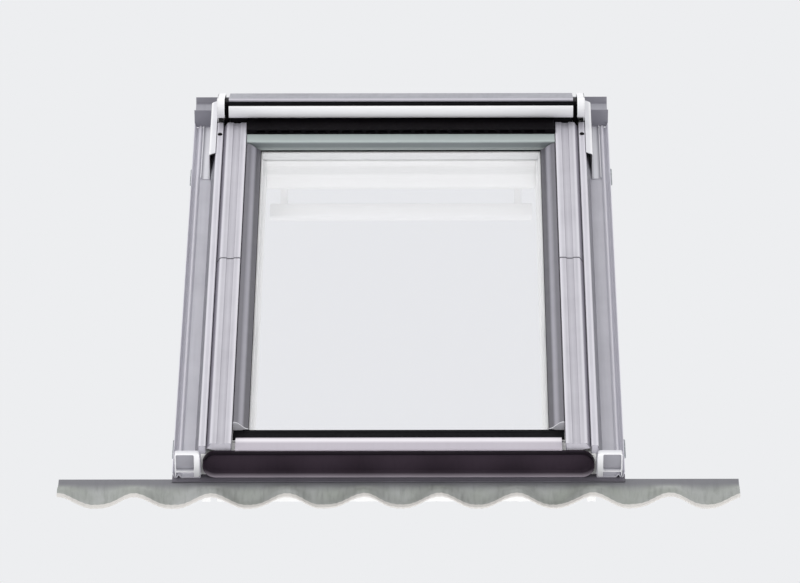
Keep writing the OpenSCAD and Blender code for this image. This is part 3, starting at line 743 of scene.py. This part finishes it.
# %% Build the hood and its end caps
NOSE_R = 22
HOOD_FALL = 41
BACK_FOLD = 6
JOINT_FROM, JOINT_TO = 105, 142
JOINT_D = 5
HOOD_LEG_IN = 21
CAP_GAP, CAP_W = 9, 16
CAP_T = 2
hood_y0, hood_y1, hood_x = hood_lo[1], hood_hi[1], hood_hi[0]
hood_low = hood_hi[2] - 2 * NOSE_R
nose_y = hood_y0 + NOSE_R
hood_back = hood_hi[2] - HOOD_FALL


def hood_roof_at(y):
    """The height of the top plate, which falls evenly from the nose to the fold at its back."""
    return hood_hi[2] - HOOD_FALL * (y - nose_y) / (hood_y1 - BACK_FOLD - nose_y)


def arc(centre, radius, start, end, n):
    """Points centre + r (cos a, sin a), with the angle a from start to end in degrees."""
    a = np.radians(np.linspace(start, end, n))[:, None]
    return centre + radius * np.hstack([np.cos(a), np.sin(a)])


nose_at = [nose_y, hood_low + NOSE_R]
hood_back_line = [
    (hood_y1, timber_top + 3),
    (hood_y1, hood_back - BACK_FOLD),
    (hood_y1 - BACK_FOLD, hood_back),
]
hood_plate_line = np.vstack([
    hood_back_line,
    arc(nose_at, NOSE_R, 90, JOINT_FROM, 4),
    arc(nose_at, NOSE_R - JOINT_D, JOINT_FROM, JOINT_FROM, 1),
])
nose_lip = [(nose_y + 6, hood_low + 3)]
nose_line = np.vstack([
    arc(nose_at, NOSE_R - JOINT_D, JOINT_TO, JOINT_TO, 1),
    arc(nose_at, NOSE_R, JOINT_TO, 270, 20),
    nose_lip,
])
joint_line = arc(nose_at, NOSE_R - JOINT_D + 1, JOINT_FROM + 3, JOINT_TO - 3, 8)
cap_line = np.vstack([hood_back_line, arc(nose_at, NOSE_R, 90, 270, 25), nose_lip])
hood_leg_y = frame_l - HOOD_LEG_IN
hood_leg = upright(hood_leg_y, hood_roof_at(hood_leg_y) - SHEET)
make_piece("hood_top_plate", [
    folded_sheet(hood_plate_line, (-hood_x, hood_x), across, bend=2.5),
    plate(hood_leg, -hood_x, hood_x, across),
], worn_and_shaded_lacquer, ["hood"])
make_piece("hood_nose", [
    folded_sheet(nose_line, (-hood_x, hood_x), across, bend=1.5),
], nose_highlight_lacquer, ["hood"])
make_piece("hood_joint_seal", [
    folded_sheet(joint_line, (-hood_x, hood_x), across, t=3, bend=1),
], epdm, ["hood"])

cap_x = hood_x + CAP_GAP
cap_side = np.vstack([cap_line, [(nose_y + 14, timber_top), (hood_y1, timber_top)]])
core_line = np.vstack([
    [(frame_l, timber_top), (frame_l, hood_roof_at(frame_l) - NOSE_R / 2)],
    arc([nose_y + 6, hood_low + NOSE_R], NOSE_R / 2, 90, 180, 9),
    [(nose_y + 14, timber_top)],
])
for side, hand in SIDES:
    shell = sorted((side * cap_x, side * (cap_x + CAP_W)))
    outer = sorted((side * (cap_x + CAP_W - CAP_T), side * (cap_x + CAP_W)))
    core = sorted((side * (hood_x + CLEAR), side * (cap_x + CAP_T)))
    make_piece(f"hood_cap_{hand}_shell", [
        folded_sheet(cap_line, shell, across, bend=2.5),
        plate(cap_side, *outer, across),
    ], nose_highlight_lacquer, [f"hood_cap_{hand}"])
    # The black core stands in for the shade in the slot beside the hood.
    make_piece(f"hood_cap_{hand}_core", [
        plate(core_line, *core, across),
    ], polypropylene, [f"hood_cap_{hand}"])

# %% [markdown]
# ## Gutters and head flashing
#
# Beside the frame a gutter carries water down to the apron: a floor, a standing
# fold that stops it from creeping under the tiles, and a raised outer edge. The
# head flashing turns water from above into both gutters, and its arms fold over
# the rails. The arms are painted pale, a painted highlight where they face up.

# %% Build the flashings
GUTTER_LIP = 13
GUTTER_FOLD = 7
gutter_x, gutter_z = gutter_hi[0], gutter_lo[2]
gutter_line = [
    (gutter_x, gutter_z + GUTTER_LIP),
    (gutter_x - 4, gutter_z),
    (gutter_x - 9, gutter_z),
    (gutter_x - 13, gutter_z + GUTTER_FOLD),
    (gutter_x - 17, gutter_z),
    (gutter_lo[0], gutter_z),
    (gutter_lo[0], gutter_hi[2]),
]
for side, hand in SIDES:
    make_piece(f"side_flashing_{hand}_sheet", [
        folded_sheet(gutter_line, (gutter_lo[1], gutter_hi[1]), up_slope(side), -SHEET, bend=3.0),
    ], gutter_lacquer, [f"side_flashing_{hand}"])

head_lo, head_hi = flat_box("head_flashing")
head_z = gutter_z + SHEET + CLEAR
arm_x = rail_hi[0] + 3
arm_y1 = frame_l + CLEAR + 1
head_line = [
    (head_hi[1], head_z + 14),
    (head_hi[1] - 6, head_z),
    (frame_l + CLEAR, head_z),
    (frame_l + CLEAR, timber_top - 2),
]
arm_line = [
    (gutter_x - 19, head_z + 5),
    (gutter_x - 21, head_z),
    (arm_x, head_z),
    (arm_x, rail_top - 4),
    (rail_x + CLEAR, rail_top + 1),
]
make_piece("head_flashing_sheet", [
    folded_sheet(head_line, (head_lo[0], head_hi[0]), across, -SHEET, bend=4.0),
], worn_and_shaded_lacquer, ["head_flashing"])
# The arms are painted pale: a painted highlight where they face up.
make_piece("head_flashing_arms", [
    folded_sheet(arm_line, (head_lo[1], arm_y1), up_slope(side), -SHEET, bend=2.5) for side in (-1, 1)
], white_lacquer, ["head_flashing"])
strip_lo, strip_hi = flat_box("sill_flashing")
strip_line = [(strip_lo[1], strip_lo[2] + 1), (strip_lo[1] + 2, strip_lo[2]), (strip_hi[1], strip_lo[2])]
# The sill flashing is painted dark, as the shadow under the sill cover.
make_piece("sill_flashing_sheet", [
    folded_sheet(strip_line, (strip_lo[0], strip_hi[0]), across),
], shaded_lacquer, ["sill_flashing"])

# %% [markdown]
# ## Sill cover
#
# The sill cover is a pressing: a rim with round ends that rolls in to a dark
# recess. It is a set of rounded rectangles, one inside the other, joined row by
# row. Its profile says how far each is set in and how far it stands forward.
# The lower lip gets a painted highlight and the upper one painted shade, the
# shadow under the bottom cover, so the rim's mark turns from minus to plus on the
# way down, and fades with the depth.

# %% Build the sill cover
SILL_END_R = 26
RIM_FADE = 11
UPPER_SHADE, LOWER_HIGHLIGHT = -1.2, 1.0


def rounded_rectangle(x0, x1, z0, z1, r, n=14):
    """Four quarter circles, each centre + r (cos a, sin a), around the rectangle's corners."""
    a = (np.linspace(0, math.pi / 2, n) + np.arange(4)[:, None] * math.pi / 2).ravel()
    cx = np.repeat([x1 - r, x0 + r, x0 + r, x1 - r], n)
    cz = np.repeat([z1 - r, z1 - r, z0 + r, z0 + r], n)
    return np.column_stack([cx + r * np.cos(a), cz + r * np.sin(a)])


def tray(lo, hi, r, profile):
    """Rows of rounded rectangles, set in by the profile's first number and forward by its second."""
    steps = rounded(profile, 1.2)
    loops = [rounded_rectangle(lo[0] + i, hi[0] - i, lo[2] + i, hi[2] - i, r - i) for i, forward in steps]
    points = np.vstack([np.column_stack([loop[:, 0], np.full(len(loop), hi[1] - forward), loop[:, 1]])
                        for loop, (i, forward) in zip(loops, steps)])
    n, rows = len(loops[0]), len(loops)
    rim = np.repeat(np.clip(1 - (steps[:, 1].max() - steps[:, 1]) / RIM_FADE, 0, 1), n)
    lower = (hi[2] - points[:, 2]) / (hi[2] - lo[2])
    # Painted light on the rim: shade under the upper rim, a highlight on the lower lip.
    painted_light = rim * ((LOWER_HIGHLIGHT - UPPER_SHADE) * lower + UPPER_SHADE)
    return points, closed_tube(rows, n), np.column_stack([painted_light, np.zeros(rows * n)])


sill_lo, sill_hi = flat_box("sill_cover")
sill_depth = sill_hi[1] - sill_lo[1]
sill_profile = [
    (0, 0),
    (0, sill_depth),
    (2.5, sill_depth),
    (4, sill_depth - 3),
    (7, sill_depth - 8),
    (11, sill_depth - 10),
    (12, sill_depth - 10),
]
make_piece("sill_cover_pressing", [
    tray(sill_lo, sill_hi, SILL_END_R, sill_profile),
], sill_lacquer, ["sill_cover"])

# %% [markdown]
# ## Rounded copies
#
# Timber and brackets have the right shape already and only lack their eased
# edges. A CAD mesh is loose triangles, so a copy is merged first, flat faces are
# dissolved, and every sharp edge gets a small round bevel. The copy replaces the
# node in the picture. The foot pieces also get marks: their rims get a painted
# highlight, and the floors of their hollows, FOOT_HOLLOW behind the rims, get
# painted shade.

# %% Ease the edges of the solid pieces
MERGE = 0.01 * MM
FLAT_ANGLE, SHARP_ANGLE = math.radians(1), math.radians(25)
RIM_D = 1.5
FOOT_HOLLOW = 10


def eased(node, width_mm, material, hollow=None):
    """A merged copy of a CAD node with its sharp edges bevelled; with hollow, a painted highlight on its
    front rim and painted shade hollow mm behind it.
    """
    mesh = frame["nodes"][node].data.copy()
    mesh.name = f"{node}_eased"
    solid = bmesh.new()
    solid.from_mesh(mesh)
    bmesh.ops.remove_doubles(solid, verts=solid.verts, dist=MERGE)
    bmesh.ops.dissolve_limit(solid, angle_limit=FLAT_ANGLE, verts=solid.verts, edges=solid.edges)
    sharp = [edge for edge in solid.edges if edge.is_manifold and edge.calc_face_angle(0) > SHARP_ANGLE]
    bmesh.ops.bevel(solid, geom=sharp, offset=width_mm * MM, segments=3, profile=0.5, affect="EDGES",
                    clamp_overlap=True)
    bmesh.ops.recalc_face_normals(solid, faces=solid.faces)
    solid.to_mesh(mesh)
    solid.free()
    if hollow is not None:
        depth = turned_back_mesh(mesh)[:, 1]
        depth = depth - depth.min()
        # Painted light: a highlight on the front rim and shade on the hollow's floor.
        rim = 0.9 * (depth < RIM_D) - 0.9 * (np.abs(depth - hollow) < 1)
        set_marks(mesh, np.column_stack([rim, 0 * rim]))
    finish_piece(mesh, material, [node], 40)


for node in ("frame_side_left", "frame_side_right", "sash_side_left", "sash_side_right"):
    eased(node, 1.5, pine_up)
for node in ("frame_head", "frame_sill", "sash_top_rail", "sash_bottom_rail"):
    eased(node, 1.5, pine_across)
for corner in CORNERS:
    eased(f"bracket_{corner}", 0.6, zinc)
for hand in ("left", "right"):
    eased(f"pivot_hinge_{hand}", 0.5, zinc)
    eased(f"foot_piece_{hand}", 0.8, white_lacquer, FOOT_HOLLOW)
eased("barrel_bolt", 0.4, zinc)
eased("control_bar", 0.8, bar_lacquer)
eased("ventilation_flap", 0.8, pine_across)
# The baffle is black plastic, and also stands in for the shade under the hood.
eased("vent_baffle", 0.6, polypropylene)

# %% [markdown]
# ## Glazing
#
# The panes and the spacer keep their CAD solids. The gasket is made again as a
# ring with a soft lip, and a wide foot below the glass: each point of a small
# profile is a rectangle round the glass. A round seal fills part of the gap
# between sash and frame in the same way.

# %% Finish the glazing
def ring(profile, x, y0, y1):
    """Rows are the profile's points (out, z): rectangles set out from x, y0 and y1 by out."""
    out, z = np.asarray(profile, float).T
    corners = np.stack([np.column_stack([sx * (x + out), y + sy * out, z])
                        for sx, sy, y in ((-1, -1, y0), (1, -1, y0), (1, 1, y1), (-1, 1, y1))], axis=1)
    faces = grid_faces(len(out), 4, wrap=True, wrap_rows=True)
    return corners.reshape(-1, 3), faces.tolist(), np.zeros((4 * len(out), 2))


GASKET_W = 11
LIP = 0.8
gasket_lo, gasket_hi = flat_box("glazing_gasket")
lip = [
    (0, timber_top),
    (0, gasket_top - LIP),
    (LIP, gasket_top),
    (GASKET_W - LIP, gasket_top),
    (GASKET_W, gasket_top - LIP),
    (GASKET_W, timber_top),
]
foot_top = gasket_top - LIP / 2
foot = [
    (gasket_lo[1], timber_top),
    (gasket_lo[1], foot_top - LIP),
    (gasket_lo[1] + LIP, foot_top),
    (bevel_lo[1] - 1, foot_top),
    (bevel_lo[1] - 1, timber_top),
]
make_piece("glazing_gasket_ring", [
    ring(lip, sight_x, bevel_lo[1], bevel_hi[1]),
    plate(foot, -gasket_hi[0], gasket_hi[0], across),
], epdm, ["glazing_gasket"])

SEAL_R = 2.4
SEAL_DEPTH = 14
seal = arc([SEAL_R, timber_top - SEAL_DEPTH], SEAL_R, 0, 330, 12)
make_piece("sash_seal", [ring(seal, sash_hi[0], sash_lo[1], sash_hi[1])], epdm, [])

for node, material, slot in (
    ("outer_pane", glass, "glass"),
    ("inner_pane", glass, "glass"),
    ("pane_spacer", spacer_metal, "spacer_metal"),
):
    solid = frame["nodes"][node]
    solid.data.materials.clear()
    solid.data.materials.append(material)

# %% [markdown]
# ## Apron
#
# The apron is a soft pleated skirt that is dressed over the tiles by hand, so it
# is the one piece that is not straight. Across, its height is a wave with broad
# valleys and narrower crests every 150 mm; down the slope, it eases from flat to
# full height. Pleats 12 mm apart and shallow dents are sums of sines with fixed
# phases, so each run gives the same metal. The lower edge is folded back once, so
# it is a little thicker there, and it isn't quite straight. Two marks go with the
# points: a painted highlight on the hem, and a painted shadow under the sill
# flashing.

# %% Build the apron
ROLL_PITCH, ROLL_SHIFT = 150, 82
FLAT_L, RISE_L = 14, 50
APRON_T = 2
HEM_T, HEM_L, HEM_FOLD = 1.2, 12, 3
SILL_SHADE, SILL_SHADE_L = 0.85, 28
PLEAT, PLEAT_D = 12, 0.35
DENT_D, WOBBLE = 0.45, 1.5
CREST_POWER = 1.3
LOWEST, HIGHEST = -0.8, 0.6
EDGE_D = 1.5
rng = np.random.default_rng(7)


def sines(x, y, length, count):
    """A sum of count sine waves about a length long, in random directions: mostly between -1 and 1."""
    angle, phase = rng.uniform(0, math.pi, count), rng.uniform(0, 2 * math.pi, count)
    k = 2 * math.pi / (length * rng.uniform(0.7, 1.4, count))
    waves = np.sin(k * np.cos(angle) * x[..., None] + k * np.sin(angle) * y[..., None] + phase)
    return waves.sum(-1) / math.sqrt(count)


def ease(u):
    """Rises smoothly from 0 to 1: u^2 (3 - 2u)."""
    u = np.clip(u, 0, 1)
    return u * u * (3 - 2 * u)


def apron_grid(lo, hi, columns=671, rows=37):
    """Two layers of z(x, v) = spread ease(v) wave(x) + dents, v being the way down, with a closed rim."""
    length = hi[1] - lo[1]
    x, v = np.meshgrid(np.linspace(lo[0], hi[0], columns), np.linspace(0, length, rows))
    grow = ease((v - FLAT_L) / RISE_L)
    wave = 2 * ((1 + np.cos(2 * math.pi * (x - ROLL_SHIFT) / ROLL_PITCH)) / 2) ** CREST_POWER - 1
    dents = DENT_D * sines(x, v, 60, 9)
    wobble = WOBBLE * sines(x, v, 120, 5)
    dents = dents + PLEAT_D * np.sin(2 * math.pi * (x + wobble) / PLEAT)
    hem = ease((v - length + HEM_L) / HEM_FOLD)
    spread = (hi[2] - lo[2] - APRON_T - HEM_T) / 2 + LOWEST
    z = (lo[2] + hi[2] + APRON_T) / 2 + spread * grow * wave + np.clip(dents * grow, LOWEST, HIGHEST)
    shorter = EDGE_D * (1 + sines(x, 0 * v, 110, 6) / 2).clip(0)
    y = hi[1] - v * (1 - shorter / length)
    top = np.stack([x, y, z + HEM_T / 2 * hem], -1).reshape(-1, 3)
    under = np.stack([x, y, z - APRON_T - HEM_T / 2 * hem], -1).reshape(-1, 3)
    sheet = grid_faces(rows, columns)
    row, count = np.arange(columns), rows * columns
    rim = np.concatenate([
        row,
        np.arange(1, rows) * columns + columns - 1,
        (rows - 1) * columns + row[-2::-1],
        np.arange(rows - 2, 0, -1) * columns,
    ])
    after = np.roll(rim, -1)
    closing = np.column_stack([rim, after, after + count, rim + count])
    faces = np.vstack([sheet, sheet[:, ::-1] + count, closing])
    # A painted shadow under the sill flashing, fading down the slope; the hem's mark paints a highlight.
    dirt_and_shade = SILL_SHADE * (1 - ease((v - SILL_SHADE_L / 2) / SILL_SHADE_L))
    marks = np.column_stack([np.tile(hem.ravel(), 2), np.tile(dirt_and_shade.ravel(), 2)])
    return np.vstack([top, under]), faces.tolist(), marks


make_piece("apron_skirt", [
    apron_grid(*flat_box("apron")),
], apron_metal, ["apron"], smooth=60)

# %% [markdown]
# ## Screws and plugs
#
# A screw head is a profile turned round an axis: a shallow dome with a dimple
# for the driver. All heads of one kind are one mesh. Two black plugs close the
# holes in the rails, just below the hood's end caps.

# %% Build the screw heads
HEAD_PROFILE = [(1.0, 0.0), (0.97, 0.45), (0.8, 0.85), (0.45, 1.0), (0.3, 0.9), (0.2, 0.35)]
SUNK = 0.2


def screw(at, radius, rise, axis):
    """A domed head: rings of the profile's radii and heights round an axis; a minus turns it over."""
    a = np.radians(np.arange(0, 360, 20))
    out, height = np.array(HEAD_PROFILE).T
    height = height * (-rise if axis[0] == "-" else rise)
    rings = np.stack([np.outer(out, np.cos(a)) * radius, np.outer(out, np.sin(a)) * radius,
                      np.repeat(height[:, None], len(a), 1)], -1).reshape(-1, 3)
    order = {"z": [0, 1, 2], "x": [2, 0, 1]}[axis[-1]]
    return rings[:, order] + at, closed_tube(len(out), len(a)), np.zeros((len(rings), 2))


PLUG_Y = nose_y - 48
make_piece("rail_screw_plugs", [
    screw((side * (rail_x - RAIL_W / 2), PLUG_Y, rail_top - SUNK), 5, 3, "z") for side in (-1, 1)
], polypropylene, [])

BRACKET_T = 3
FOOT_SCREW_Y = 25
SIDE_SCREW_Y, SIDE_SCREW_Z = 28, 22
screws = []
for corner in CORNERS:
    side = -1 if corner.endswith("left") else 1
    lo, hi = flat_box(f"bracket_{corner}")
    centre_y = (lo[1] + hi[1]) / 2
    side_x = side * (frame_x + BRACKET_T - SUNK)
    foot_at = [(side * middle_x, centre_y + dy, BRACKET_T - SUNK) for dy in (-FOOT_SCREW_Y, FOOT_SCREW_Y)]
    side_at = [(side_x, centre_y + dy, SIDE_SCREW_Z) for dy in (-SIDE_SCREW_Y, SIDE_SCREW_Y)]
    screws += [screw(at, 5.5, 3, "z") for at in foot_at]
    screws += [screw(at, 4.5, 2.5, "-x" if side < 0 else "x") for at in side_at]
make_piece("bracket_screws", screws, zinc, [])

# %% [markdown]
# ## Light, floor and camera
#
# The window lies high above the ground, and the photograph was taken from below.
# So the pale floor lies 30 m under it, deep enough to look up at the window from
# any side. Light is an overcast sky, brighter overhead than at the horizon, a
# large soft lamp from above on the left, and a smaller one from below, along the
# slope, for the light that a street throws up into the reveals. The camera and
# the mirrored and bent rays see a plain pale backdrop instead of the sky, and the
# camera sees almost the same colour on the floor, so that no horizon shows.

# %% Light the scene
CAMERA_AT = Vector((0.494, -12.455, -2.864))
FLOOR_DEPTH = 30
LENS = 288
BACKDROP = "#EDEEF0"
centre = (cad_box[0] + cad_box[1]) / 2
floor_z = centre.z - FLOOR_DEPTH

scene = bpy.context.scene
scene.view_settings.view_transform = "Standard"
world = bpy.data.worlds.new("overcast_sky")
scene.world = world
tree = empty_tree(world)
direction = add_node(tree, "TexCoord").outputs["Generated"]
rise = add_node(tree, "SeparateXYZ", {"Vector": direction}).outputs["Z"]
strength = add_node(tree, "MapRange", {
    "Value": rise, "From Min": -0.3, "From Max": 1, "To Min": 0.83, "To Max": 1}).outputs[0]
sky = add_node(tree, "Background", {"Color": "#FFFFFF", "Strength": strength})
plain = add_node(tree, "Background", {"Color": BACKDROP, "Strength": 1.0})
path = add_node(tree, "LightPath")
seen = path.outputs["Is Camera Ray"]
for ray in ("Is Glossy Ray", "Is Transmission Ray"):
    seen = add_node(tree, "Math", {0: seen, 1: path.outputs[ray]}, operation="MAXIMUM").outputs[0]
mixed = add_node(tree, "MixShader", {0: seen, 1: sky.outputs[0], 2: plain.outputs[0]})
add_node(tree, "OutputWorld", {"Surface": mixed.outputs[0]})


def aimed(name, data, location, towards):
    """An object at a location, looking in a direction."""
    thing = bpy.data.objects.new(name, data)
    thing.location = location
    thing.rotation_mode = "QUATERNION"
    thing.rotation_quaternion = towards.to_track_quat("-Z", "Y")
    scene.collection.objects.link(thing)
    return thing


def soft_lamp(name, away, size, watts):
    """A square lamp, away from the window's middle and turned to it; it lights, but isn't seen itself."""
    data = bpy.data.lights.new(name, "AREA")
    data.shape = "SQUARE"
    data.size = size
    data.energy = watts
    lamp = aimed(name, data, centre + Vector(away), -Vector(away))
    lamp.visible_camera = lamp.visible_glossy = lamp.visible_transmission = False
    print(f"{name}: {size} m wide, {watts} W")


soft_lamp("sky_lamp", (-3.0, -3.5, 6.0), 4, 110)
soft_lamp("street_lamp", (0.3, -2.4, -3.9), 1.8, 66)

# %% Lay the floor
FLOOR_R = 60
FLOOR_POINTS = 96
FADE_FROM, FADE_TO = 8, 30
circle = arc([0, 0], FLOOR_R, 0, 360 - 360 / FLOOR_POINTS, FLOOR_POINTS)
floor_mesh = bpy.data.meshes.new("floor")
floor_mesh.from_pydata(np.column_stack([circle, np.full(FLOOR_POINTS, floor_z)]).tolist(), [],
                       [list(range(FLOOR_POINTS))])
floor_material = bpy.data.materials.new("pale_floor")
tree = empty_tree(floor_material)
paint = add_node(tree, "BsdfPrincipled", {"Base Color": "#E6E6E8", "Roughness": 0.8})
glow = add_node(tree, "Emission", {"Color": BACKDROP, "Strength": 1.0})
where = add_node(tree, "TexCoord").outputs["Object"]
distance = add_node(tree, "VectorMath", {0: where}, operation="LENGTH").outputs["Value"]
far = add_node(tree, "MapRange", {"Value": distance, "From Min": FADE_FROM, "From Max": FADE_TO}).outputs[0]
camera_ray = add_node(tree, "LightPath").outputs["Is Camera Ray"]
fade = add_node(tree, "Math", {0: far, 1: camera_ray}, operation="MULTIPLY").outputs[0]
mixed = add_node(tree, "MixShader", {0: fade, 1: paint.outputs[0], 2: glow.outputs[0]})
add_node(tree, "OutputMaterial", {"Surface": mixed.outputs[0]})
floor_mesh.materials.append(floor_material)
floor = bpy.data.objects.new("floor", floor_mesh)
scene.collection.objects.link(floor)
print(f"floor: {2 * FLOOR_R} m wide, {FLOOR_DEPTH} m under the window")

# %% Set the camera
camera_data = bpy.data.cameras.new("camera")
camera_data.lens = LENS
scene.camera = aimed("camera", camera_data, CAMERA_AT, centre - CAMERA_AT)
print("camera", round((centre - CAMERA_AT).length, 2), "m from the window")
